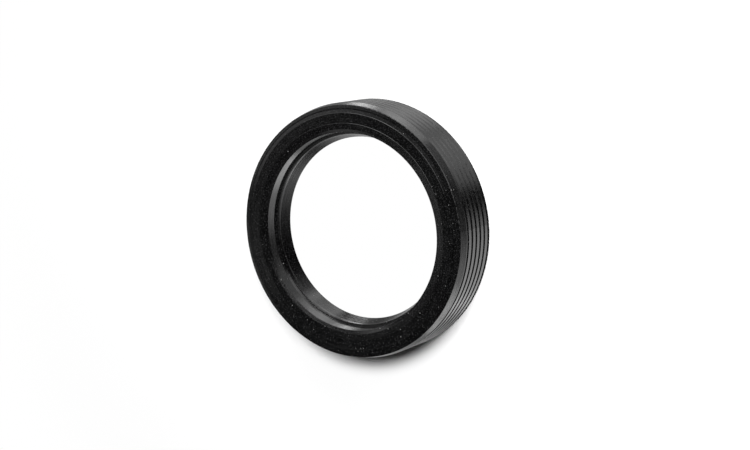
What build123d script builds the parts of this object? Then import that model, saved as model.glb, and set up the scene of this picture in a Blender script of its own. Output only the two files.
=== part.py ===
from build123d import *
import os
from math import cos, radians, sin, tan

# A rubber-covered radial shaft seal with a ribbed outside: a moulded rubber body with one sprung
# sealing lip, bonded to an L-shaped steel case, and a garter spring in the groove behind the lip.
#
# Frame: the axis of the seal is Z. The back (oil side) face lies at Z = 0 and the front (air side)
# face at Z = width. Each piece is a section, drawn as radius and height, turned once about the axis.

# ---------------------------------------------------------------- what the seal fits (mm, degrees)
shaft_diameter = 37.0
housing_diameter = 50.0
width = 11.0

# ---------------------------------------------------------------- front face
front_rounding = 0.15       # outer edge of the rim
rim_width = 0.86            # from the outer edge in to the foot of the slope
rim_flat_width = 0.25       # level part of the rim, at the foot of the slope
rim_fall = 0.09             # the rest of the rim falls this much towards its outer edge
slope_width = 0.62          # gentle slope from the rim up to the raised ring
slope_rise = 0.14
ring_edge = 0.06            # small bevelled edge of the raised ring, at the top of the slope
land_edge = 0.05            # fine bevelled step from the raised ring up to the inner land
inner_land_width = 1.12     # from that step in to the mouth
inner_land_fall = 0.1       # the inner land falls this much towards the mouth

# ---------------------------------------------------------------- ribbed outside
lead_in_drop = 0.4          # the front edge is this much smaller in radius than the ribs
lead_in_length = 1.8        # straight cone, from the rim to the full radius
land_length = 1.94          # plain land, from the rim to the first groove
groove_count = 6
groove_width = 0.66
groove_depth = 0.3
groove_root = 0.1           # narrow flat at the bottom of each groove
end_bead = 0.07             # last narrow rib, beside the back chamfer
back_chamfer = 0.15
back_rounding = 0.25        # inner edge of the back face

# ---------------------------------------------------------------- bore side of the rubber
mouth_slope_width = 0.58    # slope from the inner land down into the bore
mouth_slope_fall = 0.46
mouth_rounding = 0.15       # edges of that slope
mouth_clearance = 0.89      # shaft to the front end of the bore
band_length = 1.78          # plain band below the mouth
band_lean = 6.1             # lean of that band from the axis
waist_clearance = 0.1       # shaft to the fine edge where the lip cone starts
waist_depth = 3.77          # front face to that edge
waist_lean = 4.0            # lean of the hollow between band and edge, where it meets the edge

# ---------------------------------------------------------------- sealing lip
lip_interference = 1.1      # the free lip is this much smaller in diameter than the shaft
lip_depth = 6.15            # front face to the sealing edge
contact_width = 0.12        # small flat on the sealing edge
lip_back_angle = 48.0       # oil-side cone, from the axis
toe_reach = 1.45            # sealing edge out to the toe, along the radius
toe_rounding = 0.3
head_rounding = 0.3
neck_thickness = 1.35
neck_slope = 0.75           # height of the slope from the spring groove's edge to the neck
edge_thickness = 0.55       # rubber in front of the spring groove

# ---------------------------------------------------------------- garter spring
coil_diameter = 1.6
spring_clearance = 0.05
spring_offset = 0.4         # the spring lies this much nearer the front than the sealing edge
lip_thickness = 1.7         # sealing edge to the floor of the spring groove
groove_wrap = 0.4           # how far the groove's edges reach past the middle of the coil

# ---------------------------------------------------------------- steel case
case_thickness = 0.9
case_bend = 0.5             # inner radius of the bend
outer_cover = 1.0           # rubber outside the case, to the top of the ribs
front_cover = 1.0           # rubber over the flange, to the rim
back_cover = 1.0            # rubber behind the open end of the case
mouth_cover = 1.2           # rubber from the bore to the flange's inner edge
root_cover = 0.4            # rubber under the flange, where the neck joins it
root_reach = 0.9            # how far that rubber reaches out from the flange's inner edge
root_fillet = 0.6

# ---------------------------------------------------------------- support notches in the back edge
notch_count = 8
notch_width = 2.2
notch_depth = 0.6           # along the radius, from the case's inner face

# ---------------------------------------------------------------- radii that follow
shaft_radius = shaft_diameter / 2
rib_radius = housing_diameter / 2
lip_radius = shaft_radius - lip_interference / 2
waist_radius = shaft_radius + waist_clearance
mouth_radius = shaft_radius + mouth_clearance
band_radius = mouth_radius - band_length * tan(radians(band_lean))
toe_radius = lip_radius + toe_reach
coil_radius = coil_diameter / 2
seat_radius = coil_radius + spring_clearance
spring_radius = lip_radius + lip_thickness + seat_radius
head_radius = spring_radius + groove_wrap
neck_radius = waist_radius + neck_thickness
case_radius = rib_radius - outer_cover
case_inner_radius = case_radius - case_thickness
flange_inner_radius = mouth_radius + mouth_cover
root_radius = flange_inner_radius + root_reach
rim_radius = rib_radius - lead_in_drop
slope_foot_radius = rim_radius - rim_width
rim_flat_radius = slope_foot_radius + rim_flat_width
slope_top_radius = slope_foot_radius - slope_width
ring_outer_radius = slope_top_radius - ring_edge
mouth_top_radius = mouth_radius + mouth_slope_width
inner_land_radius = mouth_top_radius + inner_land_width
ring_inner_radius = inner_land_radius + land_edge

# ---------------------------------------------------------------- heights that follow
ring_height = width - land_edge
slope_top_height = ring_height - ring_edge
slope_foot_height = slope_top_height - slope_rise
rim_height = slope_foot_height - rim_fall
lead_in_height = rim_height - lead_in_length
mouth_top_height = width - inner_land_fall
mouth_height = mouth_top_height - mouth_slope_fall
band_height = mouth_height - band_length
waist_height = width - waist_depth
lip_height = width - lip_depth
contact_back_height = lip_height - contact_width
toe_height = contact_back_height - toe_reach / tan(radians(lip_back_angle))
spring_height = lip_height + spring_offset
shoulder_height = spring_height + seat_radius + edge_thickness
neck_height = shoulder_height + neck_slope
flange_front_height = rim_height - front_cover
flange_back_height = flange_front_height - case_thickness
root_height = flange_back_height - root_cover


def corner(section, radius, height):
    """The corner of a section that lies nearest to a radius and a height."""
    return section.vertices().sort_by_distance((radius, height))[0]


def turned(section):
    """A section, drawn as radius and height, turned once about the axis."""
    return revolve(Plane.XZ * section, Axis.Z)


def case_section():
    """L-shaped pressed-steel ring: a cylinder with a flange turned in at the front."""
    with BuildSketch() as section:
        with BuildLine():
            Polyline(
                (case_inner_radius, back_cover),
                (case_radius, back_cover),
                (case_radius, flange_front_height),
                (flange_inner_radius, flange_front_height),
                (flange_inner_radius, flange_back_height),
                (case_inner_radius, flange_back_height),
                close=True,
            )
        make_face()
        fillet(corner(section, case_radius, flange_front_height), case_bend + case_thickness)
        fillet(corner(section, case_inner_radius, flange_back_height), case_bend)
    return section.sketch


def rubber_outline():
    """The rubber's section as if its grooves and the case's place were filled."""
    with BuildSketch() as section:
        with BuildLine():
            # back face, outside and lead-in cone
            Polyline(
                (case_inner_radius, back_cover),
                (case_inner_radius, 0),
                (rib_radius - back_chamfer, 0),
                (rib_radius, back_chamfer),
                (rib_radius, lead_in_height),
                (rim_radius, rim_height),
            )
            # front face, mouth and bore band
            Polyline(
                (rim_radius, rim_height),
                (rim_flat_radius, slope_foot_height),
                (slope_foot_radius, slope_foot_height),
                (slope_top_radius, slope_top_height),
                (ring_outer_radius, ring_height),
                (ring_inner_radius, ring_height),
                (inner_land_radius, width),
                (mouth_top_radius, mouth_top_height),
                (mouth_radius, mouth_height),
                (band_radius, band_height),
            )
            # the hollow from the bore band down to the waist
            waist_direction = (sin(radians(waist_lean)), cos(radians(waist_lean)))
            TangentArc((waist_radius, waist_height), (band_radius, band_height), tangent=waist_direction)
            # lip cone, sealing edge, head and neck
            Polyline(
                (waist_radius, waist_height),
                (lip_radius, lip_height),
                (lip_radius, contact_back_height),
                (toe_radius, toe_height),
                (head_radius, toe_height),
                (head_radius, shoulder_height),
                (neck_radius, neck_height),
                (neck_radius, root_height),
                (root_radius, root_height),
                (root_radius, flange_back_height),
                (case_inner_radius, flange_back_height),
                (case_inner_radius, back_cover),
            )
        make_face()
        fillet(corner(section, case_inner_radius, 0), back_rounding)
        fillet(corner(section, rim_radius, rim_height), front_rounding)
        fillet(corner(section, mouth_top_radius, mouth_top_height), mouth_rounding)
        fillet(corner(section, mouth_radius, mouth_height), mouth_rounding)
        fillet(corner(section, toe_radius, toe_height), toe_rounding)
        fillet(corner(section, head_radius, toe_height), head_rounding)
        fillet(corner(section, neck_radius, root_height), root_fillet)
    return section.sketch


def groove_heights():
    """Middles of the grooves round the outside, evenly spaced from the land to the end bead."""
    first = rim_height - land_length - groove_width / 2
    last = back_chamfer + end_bead + groove_width / 2
    pitch = (first - last) / (groove_count - 1)
    return [first - pitch * number for number in range(groove_count)]


def groove_section():
    """One groove of the ribbed outside, with sloping sides, drawn from the top of the ribs."""
    half_width = groove_width / 2
    half_root = groove_root / 2
    with BuildSketch() as section:
        with BuildLine():
            Polyline(
                (groove_depth, -half_width),
                (0, -half_width),
                (-groove_depth, -half_root),
                (-groove_depth, half_root),
                (0, half_width),
                (groove_depth, half_width),
                close=True,
            )
        make_face()
    return section.sketch


def rubber_section():
    """The outline with its rib grooves, its spring seat and the case's place cut out."""
    section = rubber_outline()
    for height in groove_heights():
        section -= Pos(rib_radius, height) * groove_section()
    section -= Pos(spring_radius, spring_height) * Circle(seat_radius)
    return section - case_section()


def support_notches():
    """Places where pins in the mould held the open end of the case."""
    reach = 2 * notch_depth
    notch = Box(reach, notch_width, back_cover, align=(Align.CENTER, Align.CENTER, Align.MIN))
    half_step = 180 / notch_count
    return PolarLocations(case_inner_radius, notch_count, start_angle=half_step) * notch


def rubber_body():
    return turned(rubber_section()) - support_notches()


def metal_case():
    return turned(case_section())


def garter_spring():
    """Outer shape of the close-wound coil."""
    return Pos(0, 0, spring_height) * Torus(spring_radius, coil_radius)


os.makedirs("parts", exist_ok=True)
export_step(rubber_body(), "parts/rubber_body.step")
export_step(metal_case(), "parts/metal_case.step")
export_step(garter_spring(), "parts/garter_spring.step")
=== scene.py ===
# %% [markdown]
# A radial shaft seal, dressed for its picture.
# The seal is a moulded rubber ring with a ribbed outside and one sharp lip inside. A steel case is
# bonded into it, and a small coil spring, closed into a ring, lies in a groove behind the lip.
# The solid model is loaded first. It is a fixed frame: nothing here moves it or changes its size.

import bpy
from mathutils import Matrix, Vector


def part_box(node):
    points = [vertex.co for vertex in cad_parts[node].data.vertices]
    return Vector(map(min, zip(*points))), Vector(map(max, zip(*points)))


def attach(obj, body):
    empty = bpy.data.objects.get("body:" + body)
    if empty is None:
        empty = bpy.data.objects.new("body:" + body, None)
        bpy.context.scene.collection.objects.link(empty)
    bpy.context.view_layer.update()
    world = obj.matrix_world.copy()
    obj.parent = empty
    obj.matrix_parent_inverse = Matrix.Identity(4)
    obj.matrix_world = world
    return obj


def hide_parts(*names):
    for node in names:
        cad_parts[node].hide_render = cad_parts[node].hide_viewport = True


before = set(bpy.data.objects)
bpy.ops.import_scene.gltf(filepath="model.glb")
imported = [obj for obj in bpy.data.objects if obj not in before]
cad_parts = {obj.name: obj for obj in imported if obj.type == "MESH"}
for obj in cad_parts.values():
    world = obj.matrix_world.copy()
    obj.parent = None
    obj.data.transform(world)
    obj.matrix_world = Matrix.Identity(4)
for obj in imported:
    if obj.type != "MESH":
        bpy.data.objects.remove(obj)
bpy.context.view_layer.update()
print("pieces of the solid model:", sorted(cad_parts))

# %% Modules and units
import math

import bmesh
import bpy
from mathutils import Matrix, Vector

MM = 0.001

# %% [markdown]
# Every material and every tree of geometry nodes below is built in code. Each node could be written
# out in several lines, but a few small helpers keep the trees readable. The first makes a node,
# sets its options, and fills or connects its inputs. The others make the nodes that are used most.

# %% A helper that makes one node
def add(tree, kind, wired=None, **options):
    """Makes a node. An input given as a socket is connected, and any other value is set."""
    made = tree.nodes.new(kind)
    for name, value in options.items():
        setattr(made, name, value)
    for name, value in (wired or {}).items():
        if isinstance(value, bpy.types.NodeSocket):
            tree.links.new(value, made.inputs[name])
        else:
            made.inputs[name].default_value = value
    return made


print("helper ready:", add.__name__)


# %% Helpers for sums
def maths(tree, operation, first, second=0.0, clamp=False):
    """One Math node, as its output socket."""
    wired = {0: first, 1: second}
    return add(tree, "ShaderNodeMath", wired, operation=operation, use_clamp=clamp).outputs[0]


def plus(tree, first, second):
    return maths(tree, "ADD", first, second)


def times(tree, first, second):
    return maths(tree, "MULTIPLY", first, second)


def vectors(tree, operation, wired):
    """One Vector Math node, as its outputs: Vector, or Value for a length or a dot product."""
    return add(tree, "ShaderNodeVectorMath", wired, operation=operation).outputs


print("helpers ready:", [helper.__name__ for helper in (maths, plus, times, vectors)])


# %% Helpers for patterns and colours
def ramp(tree, value, low, high, start=0.0, end=1.0):
    """Turns smoothly from a start number to an end number while a value goes from low to high."""
    wired = {"Value": value, "From Min": low, "From Max": high, "To Min": start, "To Max": end}
    return add(tree, "ShaderNodeMapRange", wired, interpolation_type="SMOOTHSTEP").outputs["Result"]


def noise(tree, place, scale, detail, roughness=0.5):
    """One Noise Texture node, as its outputs: Fac and Color."""
    wired = {"Vector": place, "Scale": scale, "Detail": detail, "Roughness": roughness}
    return add(tree, "ShaderNodeTexNoise", wired).outputs


def mix_colours(tree, share, first, second):
    """One Mix node for colours, as its output socket. The share is how much the second gets."""
    return add(tree, "ShaderNodeMix", {0: share, 6: first, 7: second}, data_type="RGBA").outputs[2]


print("helpers ready:", [helper.__name__ for helper in (ramp, noise, mix_colours)])

# %% [markdown]
# A moulded or pressed surface is never one even tone. The same few effects show on several
# finishes: grain, dust, and fine lines from turning the mould. Each could be copied into every
# material, but here each is one node group, built once and used with different values. All of them
# read Object coordinates, in metres, so a pattern stays on its piece from every side.

# %% An empty node group with named sockets
def new_group(name, numbers, results):
    """A shader node group that takes coordinates and named numbers, and gives out named numbers."""
    group = bpy.data.node_groups.new(name, "ShaderNodeTree")
    sockets = group.interface
    sockets.new_socket(name="Coordinates", in_out="INPUT", socket_type="NodeSocketVector")
    for label, value in numbers.items():
        taken = sockets.new_socket(name=label, in_out="INPUT", socket_type="NodeSocketFloat")
        taken.default_value = value
    for label in results:
        sockets.new_socket(name=label, in_out="OUTPUT", socket_type="NodeSocketFloat")
    given = add(group, "NodeGroupInput").outputs
    result = add(group, "NodeGroupOutput").inputs
    return group, given, result


print("helper ready:", new_group.__name__)

# %% [markdown]
# The mould of a rubber seal is blasted or eroded steel, and the rubber copies its grain. A picture
# of such a surface could be used, but noise is sharp at any size. Slow clouds and a fine speckle
# are for the tone, and a fine pebble is for the height.

# %% Node group: moulding grain
def moulding_grain():
    scales = {"Cloud Scale": 450.0, "Speckle Scale": 4000.0, "Pebble Scale": 5200.0}
    group, given, result = new_group("moulding_grain", scales, ("Clouds", "Speckle", "Height"))
    place = given["Coordinates"]
    clouds = noise(group, place, given["Cloud Scale"], detail=5.0, roughness=0.6)["Fac"]
    speckle = noise(group, place, given["Speckle Scale"], detail=1.0, roughness=0.6)["Fac"]
    pebble = noise(group, place, given["Pebble Scale"], detail=3.0, roughness=0.55)["Fac"]
    group.links.new(ramp(group, clouds, low=0.3, high=0.72), result["Clouds"])
    group.links.new(ramp(group, speckle, low=0.5, high=0.8), result["Speckle"])
    group.links.new(pebble, result["Height"])
    return group


GRAIN = moulding_grain()
print("made", GRAIN.name)

# %% [markdown]
# Dust clings to rubber as single pale specks. Spheres could be scattered over it, but specks this
# small only need colour. Space is cut into cells, and a cell may hold one ragged speck. Each cell
# has a random colour of its own: red says if it has a speck, green how large it is, and blue how
# pale. More of them lie on one side, where dust settled, and there they gather in patches.

# %% Sizes for the dust
RAGGED_SCALE = 9000.0
RAGGED = 0.2 * MM  # twice as far as a speck's outline can stray
DUSTY_FROM, DUSTY_TO = -20 * MM, 18 * MM  # across the seal, from its clean to its dusty side
CLEAN_SHARE = 0.15
GATHERING_SCALE = 260.0
SMALLEST = 0.35  # added to green, so no speck has size zero
SPECK_EDGE = 20.0  # how steeply a speck's edge goes from 0 to 1
FAINTEST = 0.2
print("a speck's outline strays by up to", round(RAGGED / 2 / MM, 2), "mm")


# %% Node group: dust
def ragged(tree, place):
    """The coordinates, shaken by a fine noise, so that a round speck gets a ragged outline."""
    shake = noise(tree, place, RAGGED_SCALE, detail=1.0)["Color"]
    centred = vectors(tree, "SUBTRACT", {0: shake, 1: (0.5, 0.5, 0.5)})[0]
    small = vectors(tree, "SCALE", {0: centred, "Scale": RAGGED})[0]
    return vectors(tree, "ADD", {0: place, 1: small})[0]


def gathered(tree, place, dusty_x, dusty_y):
    """How much dust there is, by the side of the seal and by slow patches."""
    dusty_way = add(tree, "ShaderNodeCombineXYZ", {"X": dusty_x, "Y": dusty_y}).outputs[0]
    across = vectors(tree, "DOT_PRODUCT", {0: place, 1: dusty_way})["Value"]
    by_side = ramp(tree, across, DUSTY_FROM, DUSTY_TO, start=CLEAN_SHARE)
    slow = noise(tree, place, GATHERING_SCALE, detail=2.0)["Fac"]
    return times(tree, by_side, ramp(tree, slow, low=0.4, high=0.6, start=0.25, end=1.6))


def dust():
    numbers = {"Cell Scale": 900.0, "Share": 0.1, "Size": 0.1, "Dusty X": 0.6, "Dusty Y": -0.8}
    group, given, result = new_group("dust", numbers, ("Mask",))
    place = given["Coordinates"]
    wired = {"Vector": ragged(group, place), "Scale": given["Cell Scale"], "Randomness": 1.0}
    cells = add(group, "ShaderNodeTexVoronoi", wired).outputs
    luck = add(group, "ShaderNodeSeparateColor", {"Color": cells["Color"]}).outputs
    amount = gathered(group, place, given["Dusty X"], given["Dusty Y"])
    chosen = maths(group, "LESS_THAN", luck["Red"], times(group, given["Share"], amount))
    reach = times(group, given["Size"], plus(group, luck["Green"], SMALLEST))
    inside = maths(group, "SUBTRACT", reach, cells["Distance"])
    speck = maths(group, "MULTIPLY", inside, SPECK_EDGE, clamp=True)
    faint = plus(group, times(group, luck["Blue"], 1.0 - FAINTEST), FAINTEST)
    group.links.new(times(group, times(group, speck, faint), chosen), result["Mask"])
    return group


DUST = dust()
print("made", DUST.name)

# %% [markdown]
# The mould is turned on a lathe, and the rubber copies its fine lines. They run round the axis, on
# the outside, in the bore and on the faces alike. Rings cut into the mesh would be too fine for it,
# so a noise is squeezed along the height and the radius, and drawn out round the axis.

# %% Node group: lines round the axis
def lines_round():
    group, given, result = new_group("lines_round", {"Fine": 7000.0, "Long": 220.0}, ("Tone",))
    part = add(group, "ShaderNodeSeparateXYZ", {"Vector": given["Coordinates"]}).outputs
    squares = [maths(group, "POWER", part[axis], 2.0) for axis in ("X", "Y")]
    radius = maths(group, "SQRT", plus(group, *squares))
    slow_x = times(group, part["X"], given["Long"])
    slow_y = times(group, part["Y"], given["Long"])
    fine_radius = times(group, radius, given["Fine"])
    fine_height = times(group, part["Z"], given["Fine"])
    squeezed = {"X": slow_x, "Y": plus(group, slow_y, fine_radius), "Z": fine_height}
    place = add(group, "ShaderNodeCombineXYZ", squeezed).outputs[0]
    streaks = noise(group, place, scale=1.0, detail=3.0, roughness=0.65)["Fac"]
    group.links.new(ramp(group, streaks, low=0.32, high=0.7), result["Tone"])
    return group


LINES = lines_round()
print("made", LINES.name)

# %% [markdown]
# A finish is a material: a shader that says how the surface answers light, with patterns wired into
# it. The shader stays in the material itself, and the groups only feed it numbers and heights.

# %% Helpers for materials
def blank_material(name):
    """A material, its nodes, its shader, and the Object coordinates of the piece."""
    made = bpy.data.materials.new(name)
    made.use_nodes = True
    tree = made.node_tree
    place = add(tree, "ShaderNodeTexCoord").outputs["Object"]
    return made, tree, tree.nodes["Principled BSDF"], place


def use_group(tree, group, place, **numbers):
    """Puts a node group in a material, with its own values."""
    used = add(tree, "ShaderNodeGroup", node_tree=group)
    tree.links.new(place, used.inputs["Coordinates"])
    for label, value in numbers.items():
        used.inputs[label.replace("_", " ")].default_value = value
    return used.outputs


def roughen(tree, shader, height, strength, distance):
    """Turns a height into small bumps in the shading."""
    wired = {"Height": height, "Strength": strength, "Distance": distance}
    tree.links.new(add(tree, "ShaderNodeBump", wired).outputs["Normal"], shader.inputs["Normal"])


print("helpers ready:", [helper.__name__ for helper in (blank_material, use_group, roughen)])

# %% [markdown]
# The rubber is black nitrile. It is nearly black all over, so its look comes from how it shines. A
# plain black with one roughness would look like paint. Here the colour has a very fine pale
# speckle, the roughness has clouds and streaks, the bump has a fine pebble, and dust clings to it.

# %% Material: black rubber
RUBBER_DARK = (0.0002, 0.0002, 0.00025, 1.0)
RUBBER_PALE = (0.026, 0.026, 0.0265, 1.0)
DUST_COLOUR = (0.34, 0.34, 0.33, 1.0)
SPECKLE_SHARE = 0.9  # of the rubber's pale colour, and the rest is for clouds and streaks
SMOOTHEST, ROUGHEST = 0.1, 0.2
DUST_ROUGHNESS = 0.3
STREAK_HEIGHT = 0.6  # beside a pebble's height of 1


def rubber_material():
    made, tree, shader, place = blank_material("black_rubber")
    scales = {"Cloud_Scale": 420.0, "Speckle_Scale": 4000.0, "Pebble_Scale": 3200.0}
    grain = use_group(tree, GRAIN, place, **scales)
    specks = use_group(tree, DUST, place, Cell_Scale=1500.0, Share=0.42, Size=0.13)["Mask"]
    streaks = use_group(tree, LINES, place, Fine=6500.0, Long=200.0)["Tone"]
    tone = times(tree, plus(tree, grain["Clouds"], streaks), 0.5)
    speckled = times(tree, grain["Speckle"], SPECKLE_SHARE)
    pale = plus(tree, times(tree, tone, 1.0 - SPECKLE_SHARE), speckled)
    black = mix_colours(tree, pale, RUBBER_DARK, RUBBER_PALE)
    dusty = mix_colours(tree, specks, black, DUST_COLOUR)
    tree.links.new(dusty, shader.inputs["Base Color"])
    smooth = ramp(tree, tone, low=0.0, high=1.0, start=SMOOTHEST, end=ROUGHEST)
    dulled = plus(tree, smooth, times(tree, specks, DUST_ROUGHNESS))
    tree.links.new(dulled, shader.inputs["Roughness"])
    height = plus(tree, grain["Height"], times(tree, streaks, STREAK_HEIGHT))
    roughen(tree, shader, height, strength=0.35, distance=0.03 * MM)
    return made


RUBBER = rubber_material()
print("made", RUBBER.name)

# %% [markdown]
# The case is pressed from thin sheet steel, then blasted and given a bonding coat so that the
# rubber sticks to it. Bare metal would mirror the room too sharply. The coat is a blotchy grey
# film, so the steel is only partly metallic, with clouds in its colour and roughness.

# %% Material: coated steel of the case
CASE_DARK = (0.24, 0.235, 0.22, 1.0)
CASE_PALE = (0.42, 0.41, 0.39, 1.0)


def case_material():
    made, tree, shader, place = blank_material("coated_case_steel")
    scales = {"Cloud_Scale": 700.0, "Speckle_Scale": 3000.0, "Pebble_Scale": 4000.0}
    grain = use_group(tree, GRAIN, place, **scales)
    specks = use_group(tree, DUST, place, Cell_Scale=1200.0, Share=0.05, Size=0.1)["Mask"]
    grey = mix_colours(tree, grain["Clouds"], CASE_DARK, CASE_PALE)
    tree.links.new(mix_colours(tree, specks, grey, DUST_COLOUR), shader.inputs["Base Color"])
    blotchy = ramp(tree, grain["Clouds"], low=0.0, high=1.0, start=0.34, end=0.52)
    tree.links.new(blotchy, shader.inputs["Roughness"])
    roughen(tree, shader, grain["Height"], strength=0.2, distance=0.01 * MM)
    shader.inputs["Metallic"].default_value = 0.4
    return made


CASE_STEEL = case_material()
print("made", CASE_STEEL.name)

# %% [markdown]
# The spring is wound from drawn wire, which is bright and smooth. Plain metal would do, but a thin
# film of oil darkens a real one in patches, and the clouds of the grain group stand for that.

# %% Material: spring wire
WIRE_DARK = (0.42, 0.41, 0.39, 1.0)
WIRE_BRIGHT = (0.62, 0.61, 0.59, 1.0)


def wire_material():
    made, tree, shader, place = blank_material("spring_wire_steel")
    scales = {"Cloud_Scale": 600.0, "Speckle_Scale": 5000.0, "Pebble_Scale": 9000.0}
    grain = use_group(tree, GRAIN, place, **scales)
    steel = mix_colours(tree, grain["Clouds"], WIRE_DARK, WIRE_BRIGHT)
    tree.links.new(steel, shader.inputs["Base Color"])
    oily = ramp(tree, grain["Clouds"], low=0.0, high=1.0, start=0.22, end=0.36)
    tree.links.new(oily, shader.inputs["Roughness"])
    shader.inputs["Metallic"].default_value = 1.0
    return made


SPRING_WIRE = wire_material()
print("made", SPRING_WIRE.name)

# %% [markdown]
# The rubber body and the steel case could be modelled again here, but the solid model's own meshes
# are right as they are, turned in fine steps with smooth normals. So they only get their finishes.

# %% Dress the rubber and the case
def dress(node, material):
    """Puts a finish in every material slot of a solid model's node."""
    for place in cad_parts[node].material_slots:
        place.material = material
    print(node, "is", material.name)


dress("rubber_body", RUBBER)
dress("metal_case", CASE_STEEL)

# %% [markdown]
# The garter spring is a close-wound coil of thin wire, bent round and hooked into a ring. It
# presses the lip onto the shaft. The solid model has only its outer shape, so the wire is wound
# here. It follows a rule exactly: a point runs round the ring and, hundreds of times as fast, round
# the coil. A script could place each point, but a tree of geometry nodes winds it from a circle
# with one point for each step of each turn, and its sizes stay open as inputs.

# %% Sizes of the garter spring
spring_low, spring_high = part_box("garter_spring")
COIL_RADIUS = (spring_high.z - spring_low.z) / 2
RING_RADIUS = spring_high.x - COIL_RADIUS
RING_HEIGHT = (spring_high.z + spring_low.z) / 2
WIRE_DIAMETER = 0.3 * MM
PITCH = 1.04 * WIRE_DIAMETER
STEPS = 12
SIDES = 6
TURNS = int(2 * math.pi * (RING_RADIUS - COIL_RADIUS + WIRE_DIAMETER / 2) / PITCH)
print(TURNS, "turns on a ring of radius", round(RING_RADIUS / MM, 2), "mm")


# %% The tree's named inputs
def open_inputs(tree):
    """Gives the tree its inputs, with the sizes above as their first values."""
    for label, kind, value in (
        ("Ring Radius", "NodeSocketFloat", RING_RADIUS),
        ("Ring Height", "NodeSocketFloat", RING_HEIGHT),
        ("Coil Radius", "NodeSocketFloat", COIL_RADIUS),
        ("Wire Diameter", "NodeSocketFloat", WIRE_DIAMETER),
        ("Turns", "NodeSocketInt", TURNS),
        ("Steps", "NodeSocketInt", STEPS),
        ("Sides", "NodeSocketInt", SIDES),
        ("Finish", "NodeSocketMaterial", None),
    ):
        taken = tree.interface.new_socket(name=label, in_out="INPUT", socket_type=kind)
        if value is not None:
            taken.default_value = value
    tree.interface.new_socket(name="Geometry", in_out="OUTPUT", socket_type="NodeSocketGeometry")


print("helper ready:", open_inputs.__name__)


# %% Where the wire goes
def wound_offset(tree, given, wire_radius):
    """How far each point of the ring moves to lie on the coil: in and out, and up and down."""
    step_angle = maths(tree, "DIVIDE", 2 * math.pi, given["Steps"])
    angle = times(tree, add(tree, "GeometryNodeInputIndex").outputs[0], step_angle)
    reach = maths(tree, "SUBTRACT", given["Coil Radius"], wire_radius)
    in_out = times(tree, reach, maths(tree, "COSINE", angle))
    up_down = times(tree, reach, maths(tree, "SINE", angle))
    outward = vectors(tree, "NORMALIZE", {0: add(tree, "GeometryNodeInputPosition").outputs[0]})[0]
    sideways = vectors(tree, "SCALE", {0: outward, "Scale": in_out})[0]
    height = plus(tree, up_down, given["Ring Height"])
    upward = add(tree, "ShaderNodeCombineXYZ", {"Z": height}).outputs[0]
    return vectors(tree, "ADD", {0: sideways, 1: upward})[0]


print("helper ready:", wound_offset.__name__)


# %% Geometry nodes: wind a coil round a ring
def circle(tree, points, radius):
    wired = {"Resolution": points, "Radius": radius}
    return add(tree, "GeometryNodeCurvePrimitiveCircle", wired).outputs["Curve"]


def then(tree, kind, geometry, wired):
    """One node that takes a geometry and gives it on."""
    return add(tree, kind, {"Geometry": geometry, **wired}).outputs[0]


def coil_tree():
    tree = bpy.data.node_groups.new("garter_coil", "GeometryNodeTree")
    open_inputs(tree)
    given = add(tree, "NodeGroupInput").outputs
    wire_radius = times(tree, given["Wire Diameter"], 0.5)
    ring = circle(tree, times(tree, given["Turns"], given["Steps"]), given["Ring Radius"])
    offset = wound_offset(tree, given, wire_radius)
    wound = then(tree, "GeometryNodeSetPosition", ring, {"Offset": offset})
    outlines = {"Curve": wound, "Profile Curve": circle(tree, given["Sides"], wire_radius)}
    wire = add(tree, "GeometryNodeCurveToMesh", outlines).outputs[0]
    smooth = then(tree, "GeometryNodeSetShadeSmooth", wire, {"Shade Smooth": True})
    real = then(tree, "GeometryNodeRealizeInstances", smooth, {})
    finished = then(tree, "GeometryNodeSetMaterial", real, {"Material": given["Finish"]})
    add(tree, "NodeGroupOutput", {"Geometry": finished})
    return tree


COIL = coil_tree()
print("made", COIL.name, "with", len(COIL.nodes), "nodes")


# %% Run a tree of geometry nodes
def run_tree(name, tree, **values):
    """Runs a tree of geometry nodes and gives its result as an object with a plain mesh."""
    maker = bpy.data.objects.new(name + "_maker", bpy.data.meshes.new(name + "_maker"))
    bpy.context.scene.collection.objects.link(maker)
    modifier = maker.modifiers.new("nodes", "NODES")
    modifier.node_group = tree
    items = tree.interface.items_tree
    sockets = {item.name: item.identifier for item in items if item.in_out == "INPUT"}
    for label, value in values.items():
        modifier[sockets[label.replace("_", " ")]] = value
    evaluated = maker.evaluated_get(bpy.context.evaluated_depsgraph_get())
    made = bpy.data.objects.new(name, bpy.data.meshes.new_from_object(evaluated))
    made.data.name = name
    bpy.context.scene.collection.objects.link(made)
    maker.modifiers.clear()
    bpy.data.objects.remove(maker)
    return made


print("helper ready:", run_tree.__name__)

# %% Wind the spring
spring = run_tree("garter_spring_coil", COIL, Finish=SPRING_WIRE)
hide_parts("garter_spring")
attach(spring, "root")
print(spring.name, "has", len(spring.data.polygons), "faces")

# %% [markdown]
# The seal lies on its back, front face up. The camera looks down on it from the side at about 57
# degrees, close enough for some perspective, and rolled so that the seal's X axis lies level. Three
# points say all that: where the camera is, what it looks at, and which way is up.

# %% Aim a camera or a lamp
def aim(thing, place, target, up):
    """Puts a thing at a place, looking at a target, with a chosen up direction. All in mm."""
    place, target, up = (Vector(v) * MM for v in (place, target, up))
    back = (place - target).normalized()
    right = up.cross(back).normalized()
    turn = Matrix((right, back.cross(right), back)).transposed()
    thing.matrix_world = Matrix.Translation(place) @ turn.to_4x4()


print("helper ready:", aim.__name__)

# %% Camera
CAMERA_PLACE = (171.12, 38.04, 267.165)
CAMERA_TARGET = (6.088, 1.404, 10.66)
CAMERA_UP = (0.0, 0.98995, -0.14139)

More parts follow.
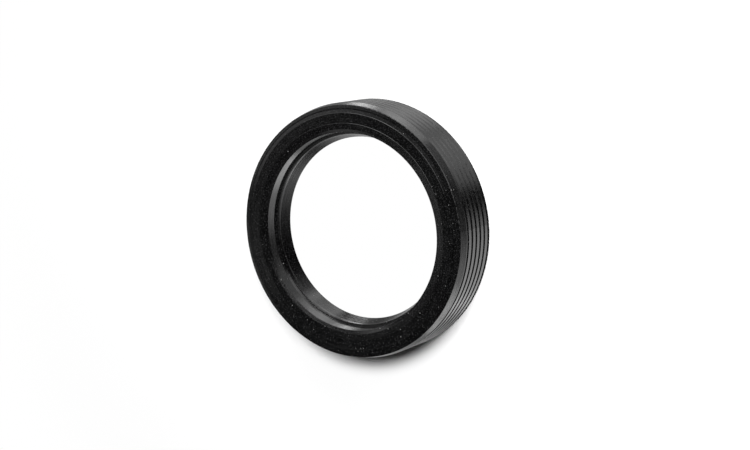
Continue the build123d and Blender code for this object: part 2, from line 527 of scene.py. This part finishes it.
camera = bpy.data.objects.new("camera", bpy.data.cameras.new("camera"))
bpy.context.scene.collection.objects.link(camera)
camera.data.sensor_width = 36.0
camera.data.lens = 77.32
camera.data.clip_start = 0.01
aim(camera, CAMERA_PLACE, CAMERA_TARGET, CAMERA_UP)
bpy.context.scene.camera = camera
print("camera at", [round(v, 4) for v in camera.location])

# %% [markdown]
# The floor is a sheet of white card under the seal. A plain matt sheet would turn grey away from
# the lamps. So it is matt only round the seal, where it keeps the shadow, and in the hole and far
# away it shines plain white for the camera. Seen from below it isn't there, so that the underside
# shows. It doesn't light the seal or mirror in it either: the lower half of the world does that.

# %% Sizes of the floor
FLOOR_RADIUS = 1.5
FLOOR_HEIGHT = -0.02 * MM
FLOOR_SIDES = 96
MATT_WHITE = (0.88, 0.88, 0.88, 1.0)
HOLE_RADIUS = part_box("rubber_body")[1].x * 0.91  # of the white disc in the middle
HOLE_EDGE = 1.05 * HOLE_RADIUS
MATT_TO = 2.0 * HOLE_RADIUS
PLAIN_FROM = 5.0 * HOLE_RADIUS
print("white disc of radius", round(HOLE_RADIUS / MM, 2), "mm in the middle")


# %% Material: white floor
def empty_tree(owner):
    """The node tree of a material or a world, with nothing in it."""
    owner.use_nodes = True
    owner.node_tree.nodes.clear()
    return owner.node_tree


def mix_shaders(tree, share, first, second):
    return add(tree, "ShaderNodeMixShader", {0: share, 1: first, 2: second}).outputs[0]


def floor_material():
    made = bpy.data.materials.new("white_floor")
    tree = empty_tree(made)
    place = add(tree, "ShaderNodeTexCoord").outputs["Object"]
    away = vectors(tree, "LENGTH", {0: place})["Value"]
    outside = ramp(tree, away, MATT_TO, PLAIN_FROM)
    in_hole = ramp(tree, away, HOLE_RADIUS, HOLE_EDGE, start=1.0, end=0.0)
    matt = add(tree, "ShaderNodeBsdfDiffuse", {"Color": MATT_WHITE}).outputs[0]
    white = add(tree, "ShaderNodeEmission", {"Strength": 1.0}).outputs[0]
    above = mix_shaders(tree, maths(tree, "MAXIMUM", outside, in_hole), matt, white)
    under = add(tree, "ShaderNodeNewGeometry").outputs["Backfacing"]
    nothing = add(tree, "ShaderNodeBsdfTransparent").outputs[0]
    add(tree, "ShaderNodeOutputMaterial", {"Surface": mix_shaders(tree, under, above, nothing)})
    return made


FLOOR_WHITE = floor_material()
print("made", FLOOR_WHITE.name)


# %% Floor
def floor_disc():
    """A round floor just under the seal, facing up."""
    disc = bmesh.new()
    bmesh.ops.create_circle(disc, cap_ends=True, radius=FLOOR_RADIUS, segments=FLOOR_SIDES)
    bmesh.ops.translate(disc, verts=disc.verts, vec=(0.0, 0.0, FLOOR_HEIGHT))
    mesh = bpy.data.meshes.new("floor")
    disc.to_mesh(mesh)
    disc.free()
    mesh.materials.append(FLOOR_WHITE)
    made = bpy.data.objects.new("floor", mesh)
    bpy.context.scene.collection.objects.link(made)
    made.visible_diffuse = False
    made.visible_glossy = False


floor_disc()
print("floor radius", FLOOR_RADIUS, "m")

# %% [markdown]
# Black rubber shows its form by what it reflects, as a studio's lamps and cards do on a real seal.
# A room could be built round it, but a world that differs by direction does the same and is easier
# to change. It has a grey level for each height: bright straight down, as a lit floor is, darker
# half way, grey again just below the horizon, and nearly black above it, so the face stays black.
# Soft patches add the lamps and windows that draw the sheen, and a few dark ones take light away.
# The camera sees plain white instead, and matt surfaces get only a share of the light.

# %% Light by height
LEVELS = (
    # height of the direction from, to, level below, level above
    (-0.68, -0.58, 0.55, 0.10),
    (-0.36, -0.20, 0.10, 0.40),
    (-0.03, 0.06, 0.40, 0.03),
)
LOWEST_LEVEL = LEVELS[0][2]
print("straight down the level is", LOWEST_LEVEL)

# %% Patches of light
PATCHES = (
    # name, azimuth, elevation, full out to, gone at (degrees), strength
    ("window", 152.1, 37.3, 21.5, 23.5, 0.63),
    ("door", 193.4, 40.6, 4.0, 6.5, 1.2),
    ("long lamp", 66.9, 9.6, 23.4, 35.4, 1.73),
    ("long lamp's end", 99.4, 7.4, 13.6, 22.0, 2.76),
    ("back wall", 229.0, 12.0, 12.0, 20.5, 0.46),
    ("side wall", 286.0, 20.0, 29.2, 44.8, 0.08),
    ("skylight", 95.2, 66.0, 17.0, 21.0, 0.38),
    ("bright floor", 308.9, -50.9, 14.0, 36.0, 1.15),
    ("floor glint", 83.3, -31.0, 13.0, 18.5, 1.35),
    ("low lamp", 129.0, -44.1, 2.0, 6.0, 3.6),
    ("low lamp's end", 118.0, -41.5, 2.0, 6.0, 2.4),
    ("low lamp's halo", 112.0, -43.0, 4.0, 12.0, 0.5),
    ("low window", 272.0, -50.0, 6.0, 11.0, 1.3),
    ("low window's side", 295.0, -43.0, 5.0, 11.0, 1.3),
    ("small glint", 66.0, -25.0, 3.0, 9.0, 1.2),
    ("floor by the lamp", 95.0, -41.0, 5.0, 13.0, 1.0),
    ("shelf", 54.0, -45.0, 10.0, 24.0, 0.35),
    ("small lamp", 51.0, 34.0, 7.0, 16.0, 1.2),
    ("floor behind the lamp", 108.0, -55.0, 5.0, 12.0, 0.4),
    ("small lamp's side", 34.0, 36.0, 6.0, 13.0, 1.3),
    ("upper lamp", 88.0, 25.0, 6.0, 16.0, 0.8),
    ("high window", 186.0, 49.5, 2.0, 6.0, 0.12),
    ("thin strip", 131.0, 4.0, 8.0, 20.0, 0.9),
    ("dark shelf", 22.0, -13.0, 12.0, 24.0, -0.36),
    ("dark corner", 158.0, -40.0, 6.0, 18.0, -0.3),
    ("dark floor", 5.0, -56.8, 7.0, 14.5, -0.6),
)
print(len(PATCHES), "patches")


# %% World
MATT_SHARE = 0.35  # of this light, for matt surfaces. The lamps give them the rest


def direction_of(azimuth, elevation):
    turn, lift = math.radians(azimuth), math.radians(elevation)
    flat = math.cos(lift)
    return Vector((math.cos(turn) * flat, math.sin(turn) * flat, math.sin(lift)))


def light_level(tree):
    """How bright the room is in each direction, never below zero."""
    direction = add(tree, "ShaderNodeTexCoord").outputs["Generated"]
    height = add(tree, "ShaderNodeSeparateXYZ", {"Vector": direction}).outputs["Z"]
    level = LOWEST_LEVEL
    for low, high, below, above in LEVELS:
        level = plus(tree, level, ramp(tree, height, low, high, end=above - below))
    for _name, azimuth, elevation, full, gone, strength in PATCHES:
        middle = direction_of(azimuth, elevation)
        nearness = vectors(tree, "DOT_PRODUCT", {0: direction, 1: middle})["Value"]
        low, high = math.cos(math.radians(gone)), math.cos(math.radians(full))
        level = plus(tree, level, ramp(tree, nearness, low, high, end=strength))
    return maths(tree, "MAXIMUM", level, 0.0)


def plain_light(tree, strength):
    wired = {"Color": (1.0, 1.0, 1.0, 1.0), "Strength": strength}
    return add(tree, "ShaderNodeBackground", wired).outputs[0]


def build_world():
    """The room for reflections, a share of it for matt surfaces, and white for the camera."""
    world = bpy.data.worlds.new("studio")
    bpy.context.scene.world = world
    tree = empty_tree(world)
    level = light_level(tree)
    path = add(tree, "ShaderNodeLightPath").outputs
    share = ramp(tree, path["Is Diffuse Ray"], low=0.0, high=1.0, start=1.0, end=MATT_SHARE)
    room = plain_light(tree, times(tree, level, share))
    seen = maths(tree, "ADD", path["Is Camera Ray"], path["Is Transmission Ray"], clamp=True)
    mixed = mix_shaders(tree, seen, room, plain_light(tree, 1.0))
    add(tree, "ShaderNodeOutputWorld", {"Surface": mixed})
    return world


studio = build_world()
print("made", studio.name, "with", len(studio.node_tree.nodes), "nodes")

# %% [markdown]
# The seal's shadow on the floor needs lamps. A single lamp would throw one plain edge. Two soft
# ones, side by side and high up, throw two shadows that run into each other: a soft crescent,
# darkest where the seal touches the floor. The rubber doesn't mirror them: the patches do that.

# %% Lamps
LAMP_DISTANCE = 600.0
LAMP_TARGET = (0.0, 0.0, 5.0)


def softbox(name, azimuth, elevation, size, brightness):
    """A square lamp that isn't seen, as bright as its face looks, where 1 is white. Sizes in mm."""
    lamp = bpy.data.lights.new(name, "AREA")
    lamp.size = size * MM
    lamp.energy = brightness * math.pi * lamp.size**2
    made = bpy.data.objects.new(name, lamp)
    bpy.context.scene.collection.objects.link(made)
    aim(made, direction_of(azimuth, elevation) * LAMP_DISTANCE, LAMP_TARGET, (0.0, 0.0, 1.0))
    made.visible_camera = False
    made.visible_glossy = False
    print(name, round(lamp.energy, 3), "W")


softbox("key", azimuth=48.0, elevation=64.0, size=160.0, brightness=37.0)
softbox("side lamp", azimuth=34.0, elevation=56.0, size=130.0, brightness=33.0)

# %% [markdown]
# Last, the colour view is set to Standard. The box of what shows should be the solid model's own
# box, because no finish and no wire reaches past the rubber.

# %% Colour view
bpy.context.scene.view_settings.view_transform = "Standard"
